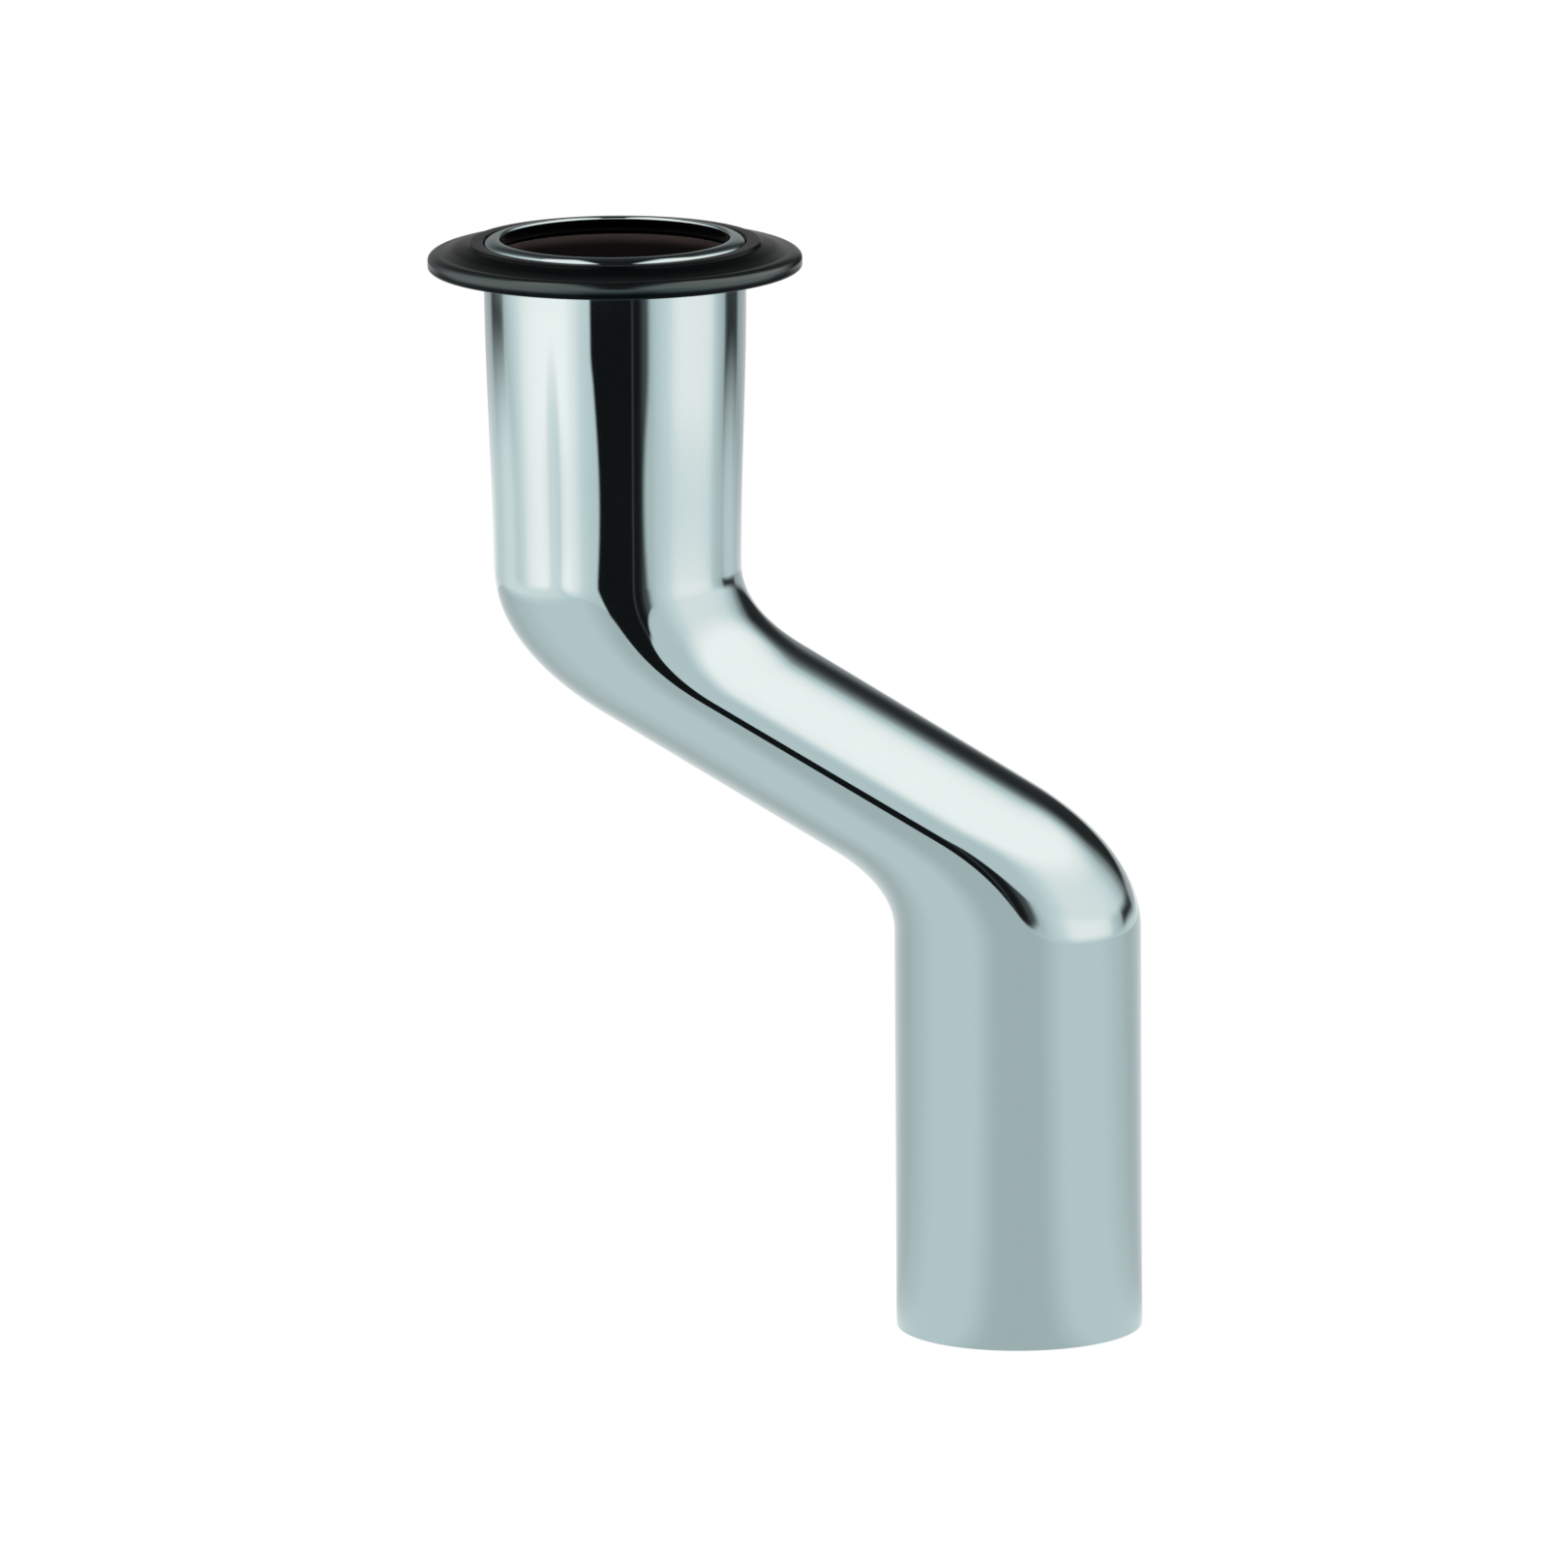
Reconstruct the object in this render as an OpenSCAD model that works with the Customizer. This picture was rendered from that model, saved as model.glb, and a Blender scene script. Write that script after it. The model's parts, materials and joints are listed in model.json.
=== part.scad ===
// Offset inlet tube of a basin trap: a chromed S-bend tube with a rubber sealing ring at its inlet.
// The origin is the centre of the inlet rim. The inlet leg hangs along -Z and the offset runs to +X.

/* [Tube] */
// Outside diameter of the tube
tube_od = 32; // [25:0.5:50]
// Wall thickness
wall = 1; // [0.8:0.1:1.5]
// Distance between the axes of the two legs
leg_offset = 51.5; // [38:0.5:120]
// Straight length of the inlet leg, from the rim to the first bend
inlet_leg = 43; // [25:1:300]
// Straight length of the outlet leg, from the second bend to the cut end
outlet_leg = 52.5; // [25:0.5:300]

/* [Bends] */
// Angle that each bend turns through, before the bent run is flattened
bend_angle = 34; // [25:1:45]
// Centre-line radius of each bend, as a multiple of the outside diameter
bend_ratio = 2; // [1.5:0.1:2.5]
// Height of the bent run against that of a round pipe, where 1 is a round pipe
bend_flattening = 0.42; // [0.4:0.01:1]

/* [Inlet end] */
// How far the inlet end is swaged out, on the diameter
swage = 1.8; // [0:0.1:3]
// Length of the straight seat that carries the ring
seat_length = 6; // [5:0.5:12]
// Width of the bead rolled inwards round the rim
bead_width = 2.1; // [1.6:0.1:3]
// Height of the bead
bead_height = 1.6; // [1:0.1:3]

/* [Sealing ring] */
// Width of the ring's section, from its bore to its outer edge
ring_width = 7.2; // [5:0.05:10]
// Drop from the rim to the top of the ring's collar
ring_drop = 0.5; // [0.5:0.1:1.4]
// Height of the ring's section, from its underside to the top of its collar
ring_height = 3.45; // [3:0.05:3.6]
// Width of the raised collar beside the bore
collar_width = 1.85; // [1:0.05:2.4]
// Height of the collar above the ring's face
collar_height = 0.4; // [0.1:0.05:0.8]
// Fall of the ring's face, from the collar's foot to where it rounds over
face_fall = 0.9; // [0.2:0.1:1.2]
// Width of the rounding where the ring's face turns down into its outer edge
rounding = 1.65; // [0.5:0.05:2]
// Radial clearance between the ring and its seat
ring_clearance = 0.05; // [0.02:0.01:0.1]

/* [Hidden] */
$fn = 96;

tube_r = tube_od / 2;
seat_r = tube_r + swage / 2;
bend_r = bend_ratio * tube_od;
// The slanted stretch makes up what the two bends leave of the offset
slant = (leg_offset - 2 * bend_r * (1 - cos(bend_angle))) / sin(bend_angle);
bent_run = bend_flattening * (2 * bend_r * sin(bend_angle) + slant * cos(bend_angle));
// Where two stretches meet, the inner one's wall is thinner by the lap on each face and reaches
// this far into the other's wall, so that they join into one solid
lap = 0.05;
lap_length = 0.5;

// The seat eases into the tube along a smooth step, in this many cones
swage_steps = 24;
function smooth_step(t) = t * t * (3 - 2 * t);
function swage_r(t) = seat_r - (seat_r - tube_r) * smooth_step(t);
function swage_z(t) = -seat_length - t * (inlet_leg - seat_length);
swage_line = [for (i = [0 : swage_steps]) [swage_r(i / swage_steps), swage_z(i / swage_steps)]];
function reversed(line) = [for (i = [len(line) - 1 : -1 : 0]) line[i]];

// The ring's face falls from the collar's foot as a cone, then turns down over a quarter of an ellipse
// to an upright edge
ring_bore_r = seat_r + ring_clearance;
ring_outer_r = ring_bore_r + ring_width;
ring_top = -ring_drop;
ring_underside = -ring_drop - ring_height;
face_top = ring_top - collar_height;
turn_height = 0.465 * (face_top - face_fall - ring_underside);
edge_break = 0.4;
ring_turn = [for (a = [90 : -7.5 : 0])
    [ring_outer_r - rounding * (1 - cos(a)), face_top - face_fall - turn_height * (1 - sin(a))]];

// Wall of the tube as a flat section, round the centre of its bore
module tube_section(thinned = 0) {
    difference() {
        circle(tube_r - thinned);
        circle(tube_r - wall + thinned);
    }
}

// Turned section of the inlet leg: bead, seat and the swage that eases down to the tube
module inlet_leg_wall() {
    outer = concat([[seat_r, 0]], swage_line);
    inner = [for (p = swage_line) [p[0] - wall, p[1]]];
    bead = [
        [seat_r - wall, -bead_height - (bead_width - wall)],
        [seat_r - bead_width, -bead_height],
        [seat_r - bead_width, 0]
    ];
    rotate_extrude() polygon(concat(outer, reversed(inner), bead));
}

// One flattened bend, from its straight end at the origin down to its slanted end
module flat_bend() {
    scale([1, 1, bend_flattening]) {
        linear_extrude(lap_length) tube_section(lap);
        translate([bend_r, 0, 0])
            rotate([90, 0, 0])
                rotate([0, 0, 180])
                    rotate_extrude(angle = bend_angle) translate([bend_r, 0]) tube_section(lap);
    }
}

// The flattened slanted stretch, placed against the end of a bend that starts at the origin
module flat_slant() {
    scale([1, 1, bend_flattening])
        translate([bend_r * (1 - cos(bend_angle)), 0, -bend_r * sin(bend_angle)])
            rotate([0, 180 - bend_angle, 0])
                translate([0, 0, -lap_length]) linear_extrude(slant + 2 * lap_length) tube_section(2 * lap);
}

module offset_tube() {
    color("silver") {
        inlet_leg_wall();
        translate([0, 0, -inlet_leg]) flat_bend();
        translate([0, 0, -inlet_leg]) flat_slant();
        translate([leg_offset, 0, -inlet_leg - bent_run]) rotate([0, 180, 0]) flat_bend();
        translate([leg_offset, 0, -inlet_leg - bent_run - outlet_leg])
            linear_extrude(outlet_leg) tube_section();
    }
}

module rubber_ring() {
    color("#202020")
        rotate_extrude()
            polygon(concat(
                [
                    [ring_bore_r, ring_underside],
                    [ring_bore_r, ring_top],
                    [ring_bore_r + collar_width, ring_top],
                    [ring_bore_r + collar_width + 0.4 * collar_height, face_top]
                ],
                ring_turn,
                [
                    [ring_outer_r, ring_underside + edge_break],
                    [ring_outer_r - edge_break, ring_underside]
                ]
            ));
}

offset_tube();
rubber_ring();
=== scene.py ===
import json
import math

import bpy
import numpy as np
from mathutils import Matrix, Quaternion, Vector


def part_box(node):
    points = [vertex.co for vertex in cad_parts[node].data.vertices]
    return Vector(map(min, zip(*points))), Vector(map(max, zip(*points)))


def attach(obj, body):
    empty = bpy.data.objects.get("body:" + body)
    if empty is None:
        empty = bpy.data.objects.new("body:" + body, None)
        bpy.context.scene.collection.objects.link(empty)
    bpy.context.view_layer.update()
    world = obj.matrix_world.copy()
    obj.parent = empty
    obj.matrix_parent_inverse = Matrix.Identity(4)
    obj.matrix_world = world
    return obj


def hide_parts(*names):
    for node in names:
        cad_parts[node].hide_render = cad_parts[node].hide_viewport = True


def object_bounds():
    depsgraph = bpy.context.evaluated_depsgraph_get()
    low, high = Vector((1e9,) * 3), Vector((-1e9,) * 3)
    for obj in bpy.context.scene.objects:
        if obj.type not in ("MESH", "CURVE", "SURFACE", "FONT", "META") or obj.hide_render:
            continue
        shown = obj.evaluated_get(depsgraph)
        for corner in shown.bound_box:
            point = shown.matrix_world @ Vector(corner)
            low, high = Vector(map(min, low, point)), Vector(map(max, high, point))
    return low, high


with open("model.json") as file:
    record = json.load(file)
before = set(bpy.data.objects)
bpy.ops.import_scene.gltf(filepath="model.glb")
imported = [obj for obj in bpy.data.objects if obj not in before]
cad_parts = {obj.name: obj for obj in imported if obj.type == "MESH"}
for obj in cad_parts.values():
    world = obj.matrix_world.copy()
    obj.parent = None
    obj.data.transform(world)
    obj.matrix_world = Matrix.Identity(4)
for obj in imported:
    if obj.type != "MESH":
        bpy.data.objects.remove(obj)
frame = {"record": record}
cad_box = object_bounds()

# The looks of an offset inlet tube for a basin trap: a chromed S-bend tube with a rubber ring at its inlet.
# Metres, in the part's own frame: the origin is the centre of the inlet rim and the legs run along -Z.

MM = 0.001

# ---------------------------------------------------------------- sizes, from the frame
mounts = {m["name"]: m for m in frame["record"]["mounts"]}
tube_low, tube_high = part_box("offset_tube")
ring_low, ring_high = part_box("rubber_ring")

OUTLET = mounts["outlet_spigot"]
TUBE_R = OUTLET["dims"]["r_mm"] * MM
BORE_R = mounts["outlet_bore"]["dims"]["r_mm"] * MM
OUTLET_LEG = OUTLET["dims"]["length_mm"] * MM
MOUTH_R = mounts["inlet_mouth"]["dims"]["r_mm"] * MM
BEAD_HEIGHT = mounts["inlet_mouth"]["dims"]["length_mm"] * MM
WALL = TUBE_R - BORE_R
LEG_OFFSET = OUTLET["pos_m"][0]
FLOOR_Z = tube_low.z

# The design's own values that the frame doesn't carry
SEAT_R = 16.9 * MM
INLET_LEG = 43 * MM
SEAT_LENGTH = 6 * MM
BEND_ANGLE = math.radians(34)
BEND_R = 4 * TUBE_R
FLATTENING = 0.42
RING_CLEARANCE = 0.05 * MM
COLLAR_WIDTH = 1.85 * MM
COLLAR_HEIGHT = 0.4 * MM
FACE_FALL = 0.9 * MM
ROUNDING = 1.65 * MM
EDGE_BREAK = 0.4 * MM
# The rounding's height, as a share of the height that is left below the face
TURN_SHARE = 0.465

# How finely the meshes are divided
AROUND = 192
OUTER_BEND_STEPS, OUTER_LEG_STEPS = 56, 40
INNER_BEND_STEPS, INNER_LEG_STEPS = 28, 20
# The walls start this far below the rim and stop this far above the cut end
BELOW_RIM = 3 * MM
ABOVE_CUT_END = 0.6 * MM


# ---------------------------------------------------------------- mesh helpers
def mesh_object(name, verts, faces, smooth=True):
    mesh = bpy.data.meshes.new(name)
    mesh.from_pydata([tuple(v) for v in verts], [], faces)
    mesh.polygons.foreach_set("use_smooth", [smooth] * len(mesh.polygons))
    mesh.update()
    obj = bpy.data.objects.new(name, mesh)
    bpy.context.scene.collection.objects.link(obj)
    return obj


def closed_strip(rows, columns):
    """Quads of a surface whose rows and columns both close on themselves."""
    faces = []
    for i in range(rows):
        above = (i + 1) % rows
        for j in range(columns):
            beside = (j + 1) % columns
            here, over = i * columns, above * columns
            faces.append((here + j, here + beside, over + beside, over + j))
    return faces


def arc(centre, radius, start, end, steps):
    """Points of an arc in a section, with angles in degrees from the outward direction."""
    turns = np.radians(np.linspace(start, end, steps + 1))
    return [(centre[0] + radius * math.cos(t), centre[1] + radius * math.sin(t)) for t in turns]


def circle(radius, steps):
    turns = np.linspace(0, 2 * math.pi, steps, endpoint=False)
    return [(radius * math.cos(t), radius * math.sin(t)) for t in turns]


# ---------------------------------------------------------------- the chromed tube
def smooth_step(t):
    return t * t * (3 - 2 * t)


def leg_radius(depth):
    """Outer radius of the inlet leg at a depth below the rim: a seat that eases down to the tube."""
    t = min(max((depth - SEAT_LENGTH) / (INLET_LEG - SEAT_LENGTH), 0), 1)
    return SEAT_R - (SEAT_R - TUBE_R) * smooth_step(t)


def bent_run_stations(steps):
    """Centre and in-plane normal of the bent run, from the inlet leg down, as (x, z, nx, nz)."""
    sin_b, cos_b = math.sin(BEND_ANGLE), math.cos(BEND_ANGLE)
    slant = (LEG_OFFSET - 2 * BEND_R * (1 - cos_b)) / sin_b
    stations = []
    for turn in np.linspace(0, BEND_ANGLE, steps + 1):
        c, s = math.cos(turn), math.sin(turn)
        stations.append((BEND_R * (1 - c), -BEND_R * s, c, s))
    x, z = stations[-1][:2]
    for run in np.linspace(0, slant, steps // 2 + 1)[1:]:
        stations.append((x + run * sin_b, z - run * cos_b, cos_b, sin_b))
    x, z = stations[-1][:2]
    for turn in np.linspace(BEND_ANGLE, 0, steps + 1)[1:]:
        c, s = math.cos(turn), math.sin(turn)
        stations.append((x - BEND_R * (cos_b - c), z - BEND_R * (sin_b - s), c, s))
    return [(x, FLATTENING * z - INLET_LEG, nx, FLATTENING * nz) for x, z, nx, nz in stations]


def tube_wall(inset, bend_steps, leg_steps):
    """Rings of one wall of the tube, from below the rim to above the cut end, as (x, z, nx, nz, r)."""
    rings = []
    for depth in np.linspace(BELOW_RIM, INLET_LEG, leg_steps):
        rings.append((0, -depth, 1, 0, leg_radius(depth) - inset))
    rings += [(*station, TUBE_R - inset) for station in bent_run_stations(bend_steps)[1:]]
    start, end = FLOOR_Z + OUTLET_LEG, FLOOR_Z + ABOVE_CUT_END
    rings += [(LEG_OFFSET, z, 1, 0, TUBE_R - inset) for z in np.linspace(start, end, leg_steps)[1:]]
    return rings


def make_tube():
    outer = tube_wall(0, OUTER_BEND_STEPS, OUTER_LEG_STEPS)
    inner = tube_wall(WALL, INNER_BEND_STEPS, INNER_LEG_STEPS)
    # Cut end: a small chamfer worn round on both edges
    edge = 0.15 * MM
    base = FLOOR_Z + edge
    out_edge = arc((TUBE_R - edge, base), edge, 0, -90, 5)
    in_edge = arc((BORE_R + edge, base), edge, -90, -180, 5)
    cut_end = [(LEG_OFFSET, z, 1, 0, r) for r, z in out_edge + in_edge]
    # Rim: the wall rolls inwards over a bead, high at the mouth and falling outwards to a groove
    # beside the ring, and comes back to the wall inside
    roll = BEAD_HEIGHT / 2
    nose = 0.3 * MM
    fall = 1.0 * MM
    inner_seat = SEAT_R - WALL
    under = arc((inner_seat - roll, -BEAD_HEIGHT - roll), roll, 0, 90, 8)
    tip = arc((MOUTH_R + nose, -nose), nose, 180, 90, 10)
    reach = SEAT_R - MOUTH_R - nose
    shoulder = [(SEAT_R - reach + reach * x, -fall + fall * z) for x, z in arc((0, 0), 1, 84, 0, 24)]
    rim = [(0, z, 1, 0, r) for r, z in under + tip + shoulder]
    rings = outer + cut_end + inner[::-1] + rim
    verts = []
    for x, z, nx, nz, r in rings:
        for across, along in circle(r, AROUND):
            verts.append((x + across * nx, along, z + across * nz))
    tube = mesh_object("chrome_tube", verts, closed_strip(len(rings), AROUND))
    first = (len(outer) + len(cut_end)) * AROUND
    last = first + len(inner) * AROUND
    inside = [int(first <= p.vertices[0] < last) for p in tube.data.polygons]
    tube.data.polygons.foreach_set("material_index", inside)
    return tube


# ---------------------------------------------------------------- the rubber ring
def make_ring():
    """Moulded ring: a collar beside the bore, a conical face, a rounding and an upright edge."""
    bore = SEAT_R + RING_CLEARANCE
    outer = -ring_low.x      # a facet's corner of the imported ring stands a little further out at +X
    top, bottom = ring_high.z, ring_low.z
    foot = bore + COLLAR_WIDTH
    face = top - COLLAR_HEIGHT
    turn_top = face - FACE_FALL
    turn_height = TURN_SHARE * (turn_top - bottom)
    bore_round = 0.22 * MM
    collar_round = 0.3 * MM
    hollow = 0.2 * MM
    foot_gap = 0.33 * MM
    profile = []
    profile += arc((bore + bore_round, bottom + bore_round), bore_round, 270, 180, 4)
    profile += arc((bore + collar_round, top - collar_round), collar_round, 180, 90, 7)
    profile += arc((foot - hollow, top - hollow), hollow, 90, 20, 6)
    profile += arc((foot + foot_gap, face + hollow), hollow, 200, 255, 6)
    cone_start = profile[-1]
    cone_end = (outer - ROUNDING, turn_top)
    for share in np.linspace(0, 1, 9)[1:]:
        profile.append(tuple(a + (b - a) * share for a, b in zip(cone_start, cone_end)))
    for t in np.radians(np.linspace(86, 0, 24)):
        profile.append((outer - ROUNDING * (1 - math.cos(t)), turn_top - turn_height * (1 - math.sin(t))))
    profile += arc((outer - EDGE_BREAK, bottom + EDGE_BREAK), EDGE_BREAK, 0, -90, 6)
    verts = [(r * c, r * s, z) for c, s in circle(1, AROUND) for r, z in profile]
    return mesh_object("sealing_ring", verts, closed_strip(AROUND, len(profile)))


# ---------------------------------------------------------------- node helpers
def new_material(name):
    material = bpy.data.materials.new(name)
    material.use_nodes = True
    tree = material.node_tree
    return material, tree, tree.nodes["Principled BSDF"]


def link_or_set(tree, socket, value):
    if isinstance(value, (int, float)):
        socket.default_value = value
    else:
        tree.links.new(value, socket)


def math_node(tree, operation, a, b):
    node = tree.nodes.new("ShaderNodeMath")
    node.operation = operation
    link_or_set(tree, node.inputs[0], a)
    link_or_set(tree, node.inputs[1], b)
    return node.outputs[0]


def fade(tree, source, start, end):
    """0 below start, 1 above end, smooth between."""
    node = tree.nodes.new("ShaderNodeMapRange")
    node.interpolation_type = "SMOOTHSTEP"
    node.inputs["From Min"].default_value = start
    node.inputs["From Max"].default_value = end
    tree.links.new(source, node.inputs["Value"])
    return node.outputs["Result"]


def blend(tree, share, low, high):
    node = tree.nodes.new("ShaderNodeMix")
    tree.links.new(share, node.inputs[0])
    link_or_set(tree, node.inputs[2], low)
    link_or_set(tree, node.inputs[3], high)
    return node.outputs[0]


def object_place(tree):
    place = tree.nodes.new("ShaderNodeTexCoord")
    split = tree.nodes.new("ShaderNodeSeparateXYZ")
    tree.links.new(place.outputs["Object"], split.inputs[0])
    return split.outputs


def noise(tree, place, scale, detail=2.0):
    node = tree.nodes.new("ShaderNodeTexNoise")
    node.inputs["Scale"].default_value = scale
    node.inputs["Detail"].default_value = detail
    tree.links.new(place, node.inputs["Vector"])
    return node.outputs["Fac"]


def stretched_place(tree, scale):
    """Object coordinates, stretched by scale along each axis."""
    place = tree.nodes.new("ShaderNodeTexCoord")
    mapping = tree.nodes.new("ShaderNodeMapping")
    mapping.inputs["Scale"].default_value = scale
    tree.links.new(place.outputs["Object"], mapping.inputs["Vector"])
    return mapping.outputs["Vector"]


def bump(tree, shader, height, distance, strength):
    node = tree.nodes.new("ShaderNodeBump")
    node.inputs["Strength"].default_value = strength
    node.inputs["Distance"].default_value = distance
    tree.links.new(height, node.inputs["Height"])
    tree.links.new(node.outputs["Normal"], shader.inputs["Normal"])


# ---------------------------------------------------------------- materials
CHROME = (0.43, 0.552, 0.565, 1)
# Bore colours: painted shade (black) and brass with painted light (brown, near the rim)
BORE_PAINTED_SHADE = (0.030, 0.028, 0.028, 1)
BRASS_WITH_PAINTED_LIGHT = (0.42, 0.36, 0.34, 1)
BLACK_RUBBER = (0.0010, 0.0020, 0.0022, 1)
RUBBER_GLINT = (0.70, 1.0, 1.0, 1)
# The bore's painted shade and painted light: black below the first height, where shade falls, and brown
# above the second, near the rim, where light comes in
BORE_PAINTED_SHADE_HEIGHTS = (-4 * MM, -1.4 * MM)
# The parting line's height, as a share of the ring's, and how strong its sheen is on each part
PARTING_SHARE = 0.26
EDGE_SHEEN, ROUNDING_SHEEN, FACE_SHEEN = 0.06, 0.85, 0.05


def chrome_material():
    """Bright plate: faint marks of the polishing wheel run round the tube, over slow waves in the gloss."""
    material, tree, shader = new_material("polished_chrome")
    shader.inputs["Metallic"].default_value = 1.0
    shader.inputs["Base Color"].default_value = CHROME
    marks = noise(tree, stretched_place(tree, (1, 1, 14)), 260, 4)
    waves = noise(tree, stretched_place(tree, (1, 1, 1)), 45)
    gloss = math_node(tree, "ADD", math_node(tree, "MULTIPLY", marks, 0.018), 0.018)
    gloss = math_node(tree, "ADD", math_node(tree, "MULTIPLY", waves, 0.016), gloss)
    tree.links.new(gloss, shader.inputs["Roughness"])
    bump(tree, shader, waves, 0.02 * MM, 0.06)
    return material


def bore_material():
    """Unplated brass inside with a drawn grain along the tube, coloured with painted light and shade: brown
    in patches near the rim, black deeper in.
    """
    material, tree, shader = new_material("unplated_bore")
    shader.inputs["Metallic"].default_value = 0.8
    grain = noise(tree, stretched_place(tree, (1, 1, 0.08)), 900, 3)
    glow_patches = noise(tree, stretched_place(tree, (1, 1, 1)), 70, 3)
    # Painted light near the rim, giving way to painted shade deeper in the bore
    painted_light_near_rim = fade(tree, object_place(tree)["Z"], *BORE_PAINTED_SHADE_HEIGHTS)
    patchy = math_node(tree, "ADD", math_node(tree, "MULTIPLY", glow_patches, 0.4), 0.8)
    share = math_node(tree, "MULTIPLY", painted_light_near_rim, patchy)
    colour = tree.nodes.new("ShaderNodeMix")
    colour.data_type = "RGBA"
    colour.inputs[6].default_value = BORE_PAINTED_SHADE
    colour.inputs[7].default_value = BRASS_WITH_PAINTED_LIGHT
    tree.links.new(share, colour.inputs[0])
    tree.links.new(colour.outputs[2], shader.inputs["Base Color"])
    rough = math_node(tree, "ADD", math_node(tree, "MULTIPLY", grain, 0.08), 0.26)
    tree.links.new(rough, shader.inputs["Roughness"])
    return material


def rubber_material():
    """Moulded black rubber: a fine grain, a matt face, a sheen where it rounds over and a dull edge."""
    material, tree, shader = new_material("moulded_rubber")
    shader.inputs["Base Color"].default_value = BLACK_RUBBER
    shader.inputs["Specular Tint"].default_value = RUBBER_GLINT
    height = object_place(tree)["Z"]
    parting = ring_low.z + PARTING_SHARE * (ring_high.z - ring_low.z)
    face = ring_high.z - COLLAR_HEIGHT - 0.75 * FACE_FALL
    above_edge = fade(tree, height, parting - 0.35 * MM, parting + 0.25 * MM)
    on_face = fade(tree, height, face - 0.35 * MM, face + 0.3 * MM)
    below_face = blend(tree, above_edge, EDGE_SHEEN, ROUNDING_SHEEN)
    sheen = blend(tree, on_face, below_face, FACE_SHEEN)
    tree.links.new(sheen, shader.inputs["Specular IOR Level"])
    grain = noise(tree, stretched_place(tree, (1, 1, 1)), 5200, 2)
    bloom = noise(tree, stretched_place(tree, (1, 1, 1)), 160, 3)
    rough = math_node(tree, "ADD", math_node(tree, "MULTIPLY", bloom, 0.08), 0.16)
    tree.links.new(rough, shader.inputs["Roughness"])
    bump(tree, shader, grain, 0.02 * MM, 0.1)
    return material


# ---------------------------------------------------------------- studio
TENT_X = 26 * MM
TENT_R = 0.40
TENT_HEIGHT = 0.70
TENT_SIDES = 96
# The floor that the chrome sees lies this far above the floor that the camera sees
CARD_LIFT = 0.05 * MM
FLOOR_REACH = 6
WHITE = (1, 1, 1, 1)
# The tint of the brightest light, and the levels between which it comes in
WARM = (1.12, 0.96, 0.92, 1)
WARMS = (0.95, 1.6)


def by_degrees(*stops):
    return [((degrees + 180) / 360, level) for degrees, level in stops]


# Brightness round the wall by degrees from the camera's side towards +X, at four heights from the foot up
FOOT_OF_WALL = by_degrees(
    (-180, 1.1), (-160, 1.1), (-140, 0.95), (-115, 1.2), (-66, 1.22), (-52, 1.1), (-34, 1.0), (-16, 0.9),
    (16, 0.85), (34, 0.97), (60, 1.0), (110, 0.97), (140, 1.0), (165, 1.2), (180, 1.1),
)
LOW_WALL = by_degrees(
    (-180, 0.7), (-150, 0.62), (-138, 0.5), (-131, 0.06), (-120, 0.06), (-112, 0.7), (-95, 1.2),
    (-75, 1.62), (-55, 1.66), (-42, 1.45), (-27, 1.05), (0, 0.9), (25, 0.8), (32, 0.95), (45, 1.2),
    (65, 1.5), (85, 1.45), (100, 1.0), (112, 0.65), (120, 0.06), (134, 0.08), (141, 0.5), (180, 0.75),
)
MIDDLE_WALL = by_degrees(
    (-180, 0.34), (-165, 0.26), (-145, 0.25), (-115, 1.0), (-70, 1.5), (-45, 1.45), (-26, 1.1), (0, 1.0),
    (26, 0.95), (45, 1.15), (65, 1.35), (95, 1.3), (118, 0.95), (134, 0.3), (146, 0.03), (160, 0.04),
    (170, 0.28), (180, 0.34),
)
HIGH_WALL = by_degrees(
    (-180, 0.04), (-150, 0.1), (-120, 1.0), (-60, 1.6), (-20, 1.5), (0, 1.3), (20, 1.5), (60, 1.65),
    (115, 1.6), (140, 0.9), (158, 0.06), (180, 0.04),
)
# Brightness round the floor
FLOOR_LEVELS = by_degrees(
    (-180, 0.9), (-152, 0.84), (-128, 0.74), (-106, 0.86), (-74, 1.0), (-47, 1.0), (-29, 0.88), (-19, 0.78),
    (0, 0.765), (19, 0.78), (29, 0.88), (47, 1.0), (74, 1.0), (106, 0.86), (128, 0.74), (152, 0.84),
    (180, 0.9),
)
# How far the foot's soft edge climbs the wall, as a share of this height
RISE_UNIT = 100 * MM
FOOT_RISE = by_degrees(
    (-180, 0.1), (-135, 0.4), (-118, 0.4), (-98, 0.08), (-80, 0.03), (-68, 0.12), (-60, 0.34), (-52, 0.1),
    (-40, 0.0), (60, 0.0), (105, 0.05), (128, 0.26), (150, 0.1), (180, 0.1),
)
# Brightness inside the dark slit in front, by degrees
SLIT_LEVELS = by_degrees(
    (-180, 0.012), (-30, 0.012), (8, 0.012), (10, 0.014), (11.5, 0.07), (13, 0.014), (17, 0.02),
    (21, 0.1), (26, 0.14), (180, 0.14),
)
# The slit's edges go up to this height above the floor, as shares of a span in degrees. The slit closes
# where the slanted run would see it and opens again above, where only the lip and the ring do.
SLIT_HEIGHT = 560 * MM
SLIT_SPAN = 60
# Overhead it is a straight strip, this far to each side of the tent's middle
STRIP_OVERHEAD = (-125 * MM, 95 * MM)
STRIP_EDGES = (20 * MM, 30 * MM)
ROOF_LEVEL, STRIP_LEVEL = 1.5, 0.02
# Heights, from the rim, over which one part of the wall gives way to the next
LOW_TO_MIDDLE = (-85 * MM, -45 * MM)
MIDDLE_TO_HIGH = (50 * MM, 200 * MM)
FOOT_TO_WALL = (-154 * MM, -116 * MM)
# Where the floor brightens, measured leftwards from the tent's middle, and its level beyond
FAR_LEFT = (250 * MM, 370 * MM)
FAR_LEFT_LEVEL = 1.25


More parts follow.
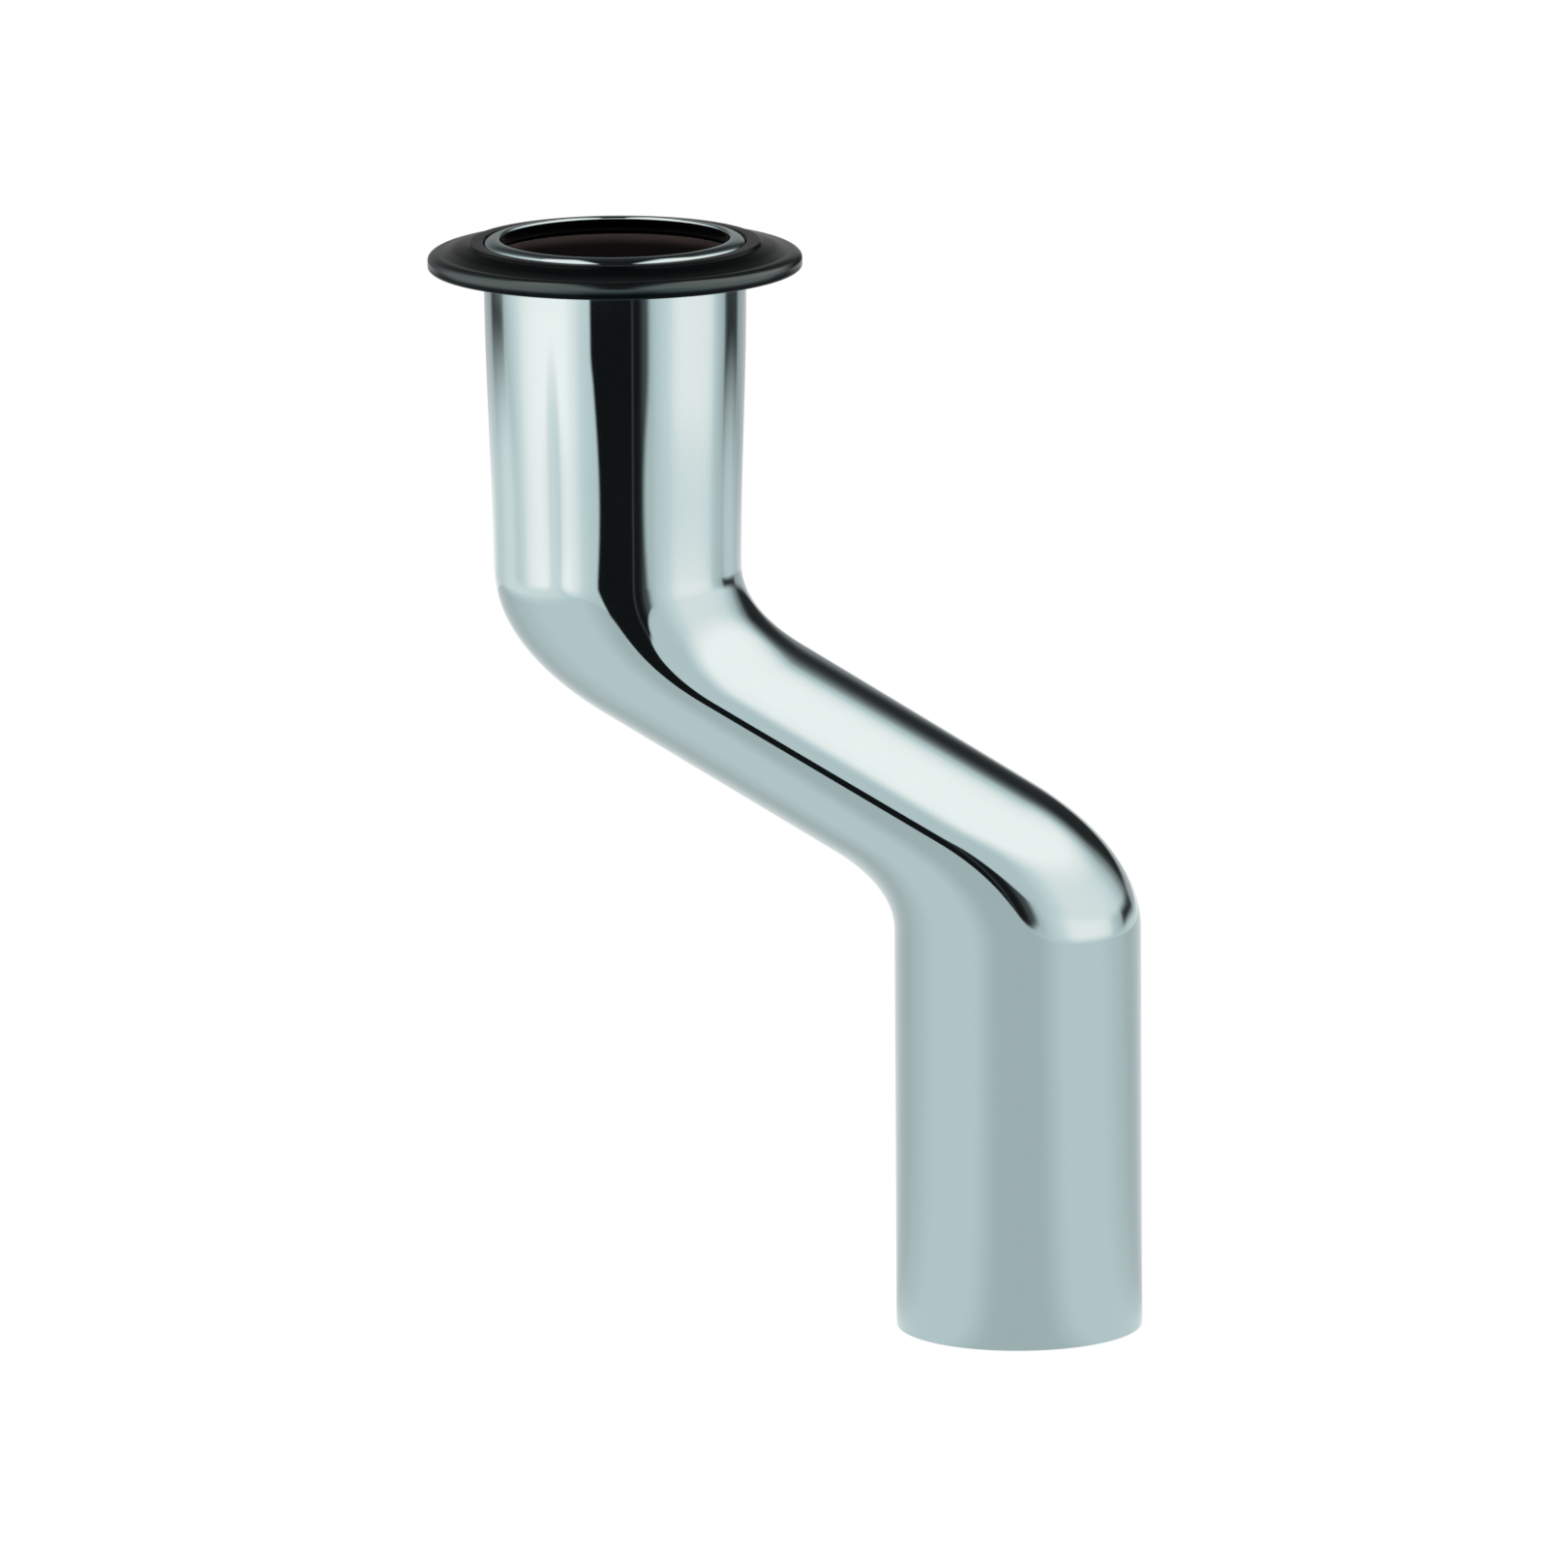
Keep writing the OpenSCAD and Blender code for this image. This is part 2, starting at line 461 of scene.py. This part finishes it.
def by_height(*stops):
    """Stops are (height above the floor in mm, degrees from the front)."""
    return [(height * MM / SLIT_HEIGHT, degrees / SLIT_SPAN + 0.5) for height, degrees in stops]


SLIT_LEFT = by_height(
    (0, -14), (17, -19.5), (35, -23), (50, -25), (73, -25), (77, 2), (85, 12), (100, 15), (200, 16),
    (300, 14), (345, 8), (400, -17), (440, -17), (560, -17),
)
SLIT_RIGHT = by_height(
    (0, 14), (12, 22), (40, 26), (66, 26), (76, 21), (95, 13), (130, 9), (200, 8), (300, 10),
    (345, 12), (400, 13), (560, 13),
)


def ramp(tree, source, stops, top=2.0):
    """A brightness curve along source (0 to 1): stops are (place, level) pairs."""
    curve = tree.nodes.new("ShaderNodeFloatCurve")
    points = curve.mapping.curves[0].points
    while len(points) < len(stops):
        points.new(0.5, 0.5)
    for point, (place, level) in zip(points, stops):
        point.location = (place, level / top)
        point.handle_type = "AUTO_CLAMPED"
    curve.mapping.update()
    tree.links.new(source, curve.inputs["Value"])
    return math_node(tree, "MULTIPLY", curve.outputs[0], top)


def azimuth(tree, place, centre_x=0.0):
    """0 to 1 once round an upright line at centre_x: 0.5 is the camera's side and 0.75 is +X."""
    back = math_node(tree, "MULTIPLY", place["Y"], -1)
    turn = math_node(tree, "ARCTAN2", math_node(tree, "SUBTRACT", place["X"], centre_x), back)
    share = tree.nodes.new("ShaderNodeMapRange")
    share.inputs["From Min"].default_value = -math.pi
    share.inputs["From Max"].default_value = math.pi
    tree.links.new(turn, share.inputs["Value"])
    return share.outputs["Result"]


def emitter(name):
    """The material of a card that glows an even white."""
    material = bpy.data.materials.new(name)
    material.use_nodes = True
    tree = material.node_tree
    tree.nodes.clear()
    out = tree.nodes.new("ShaderNodeOutputMaterial")
    glow = tree.nodes.new("ShaderNodeEmission")
    glow.inputs["Color"].default_value = WHITE
    glow.inputs["Strength"].default_value = 1.0
    tree.links.new(glow.outputs[0], out.inputs[0])
    return material, tree, glow


def warm_where_bright(tree, glow, level):
    """The brighter a card is, the warmer, as lit white cloth is beside its own shade."""
    colour = tree.nodes.new("ShaderNodeMix")
    colour.data_type = "RGBA"
    colour.inputs[6].default_value = WHITE
    colour.inputs[7].default_value = WARM
    tree.links.new(fade(tree, level, *WARMS), colour.inputs[0])
    tree.links.new(colour.outputs[2], glow.inputs["Color"])
    tree.links.new(level, glow.inputs["Strength"])


def slit_share(tree, around, height):
    """1 inside the dark slit in front, whose two edges move with height."""
    level = math_node(tree, "DIVIDE", math_node(tree, "SUBTRACT", height, FLOOR_Z), SLIT_HEIGHT)
    from_front = math_node(tree, "SUBTRACT", around, 0.5)
    degrees = math_node(tree, "MULTIPLY", from_front, 360)
    edges = []
    for stops in (SLIT_LEFT, SLIT_RIGHT):
        place = math_node(tree, "SUBTRACT", ramp(tree, level, stops, 1.0), 0.5)
        edges.append(math_node(tree, "MULTIPLY", place, SLIT_SPAN))
    return between(tree, degrees, *edges)


def between(tree, value, low, high, low_edge=1.5, high_edge=3.0):
    """1 between two places, with an edge of its own softness at each."""
    past_low = fade(tree, math_node(tree, "SUBTRACT", value, low), -low_edge, low_edge)
    short_of_high = fade(tree, math_node(tree, "SUBTRACT", high, value), -high_edge, high_edge)
    return math_node(tree, "MULTIPLY", past_low, short_of_high)


def tent_wall_material():
    """Softboxes all round, a black gap in front, dark bars low at the sides and a dark back wall."""
    material, tree, glow = emitter("tent_wall")
    place = object_place(tree)
    around = azimuth(tree, place)
    height = place["Z"]
    low = ramp(tree, around, LOW_WALL)
    middle = ramp(tree, around, MIDDLE_WALL)
    wall = blend(tree, fade(tree, height, *LOW_TO_MIDDLE), low, middle)
    wall = blend(tree, fade(tree, height, *MIDDLE_TO_HIGH), wall, ramp(tree, around, HIGH_WALL))
    rise = math_node(tree, "MULTIPLY", ramp(tree, around, FOOT_RISE), RISE_UNIT)
    above_foot = math_node(tree, "SUBTRACT", height, rise)
    wall = blend(tree, fade(tree, above_foot, *FOOT_TO_WALL), ramp(tree, around, FOOT_OF_WALL), wall)
    wall = blend(tree, slit_share(tree, around, height), wall, ramp(tree, around, SLIT_LEVELS))
    warm_where_bright(tree, glow, wall)
    return material


def reflected_floor_material():
    """The floor as the chrome sees it: greyer near the camera and at the sides, lit from the far left."""
    material, tree, glow = emitter("reflected_floor")
    place = object_place(tree)
    near = ramp(tree, azimuth(tree, place, LEG_OFFSET - TENT_X), FLOOR_LEVELS)
    leftwards = math_node(tree, "MULTIPLY", place["X"], -1)
    level = blend(tree, fade(tree, leftwards, *FAR_LEFT), near, FAR_LEFT_LEVEL)
    warm_where_bright(tree, glow, level)
    return material


def roof_material():
    """A pale roof with one dark strip across it."""
    material, tree, glow = emitter("tent_roof")
    strip = between(tree, object_place(tree)["X"], *STRIP_OVERHEAD, *STRIP_EDGES)
    warm_where_bright(tree, glow, blend(tree, strip, ROOF_LEVEL, STRIP_LEVEL))
    return material


def flat_sheet(name, outline, z, material):
    sheet = mesh_object(name, [(x, y, 0) for x, y in outline], [tuple(range(len(outline)))], smooth=False)
    sheet.location = (TENT_X, 0, z)
    sheet.data.materials.append(material)
    return sheet


def make_tent():
    """What the chrome reflects: a round light tent, unseen by the camera."""
    just_above = FLOOR_Z + CARD_LIFT
    floor = flat_sheet("floor_in_chrome", circle(TENT_R, TENT_SIDES), just_above, reflected_floor_material())
    roof = flat_sheet("tent_roof", circle(TENT_R, TENT_SIDES), FLOOR_Z + TENT_HEIGHT, roof_material())
    foot = [(x, y, FLOOR_Z) for x, y in circle(TENT_R, TENT_SIDES)]
    head = [(x, y, FLOOR_Z + TENT_HEIGHT) for x, y in circle(TENT_R, TENT_SIDES)]
    faces = []
    for here in range(TENT_SIDES):
        beside = (here + 1) % TENT_SIDES
        faces.append((here, beside, TENT_SIDES + beside, TENT_SIDES + here))
    wall = mesh_object("light_tent", foot + head, faces, smooth=False)
    wall.location = (TENT_X, 0, 0)
    wall.data.materials.append(tent_wall_material())
    for card in (floor, roof, wall):
        card.visible_camera = False
        card.visible_shadow = False
        card.visible_transmission = False


def make_floor():
    corners = ((-1, -1), (1, -1), (1, 1), (-1, 1))
    outline = [(FLOOR_REACH * x, FLOOR_REACH * y) for x, y in corners]
    floor = flat_sheet("floor", outline, FLOOR_Z, emitter("white_floor")[0])
    floor.visible_glossy = False


def make_world():
    world = bpy.data.worlds.new("studio")
    world.use_nodes = True
    background = world.node_tree.nodes["Background"]
    background.inputs["Color"].default_value = WHITE
    background.inputs["Strength"].default_value = 1.0
    bpy.context.scene.world = world
    bpy.context.scene.view_settings.view_transform = "Standard"


# The camera stands a long way off with a long lens, a little above the tube, turned slightly clockwise
CAMERA_DISTANCE = 2.4
CAMERA_ELEVATION = math.radians(11.8)
CAMERA_ROLL = math.radians(-0.4)
# Where it aims, from the middle of the CAD box
AIM_SHIFT = Vector((-0.375, 0, -0.1)) * MM
SENSOR_WIDTH = 36
LENS = 425.4
CLIP_END = 100


def make_camera():
    low, high = cad_box
    aim = (low + high) / 2 + AIM_SHIFT
    outward = Vector((0, -math.cos(CAMERA_ELEVATION), math.sin(CAMERA_ELEVATION)))
    data = bpy.data.cameras.new("camera")
    data.sensor_width = SENSOR_WIDTH
    data.lens = LENS
    data.clip_end = CLIP_END
    camera = bpy.data.objects.new("camera", data)
    camera.location = aim + outward * CAMERA_DISTANCE
    camera.rotation_mode = "QUATERNION"
    look = (aim - camera.location).to_track_quat("-Z", "Y")
    camera.rotation_quaternion = look @ Quaternion((0, 0, 1), CAMERA_ROLL)
    bpy.context.scene.collection.objects.link(camera)
    bpy.context.scene.camera = camera


# ---------------------------------------------------------------- build
tube = make_tube()
tube.data.materials.append(chrome_material())
tube.data.materials.append(bore_material())
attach(tube, "tube")
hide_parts("offset_tube")

ring = make_ring()
ring.data.materials.append(rubber_material())
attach(ring, "ring")
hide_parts("rubber_ring")

make_floor()
make_tent()
make_world()
make_camera()
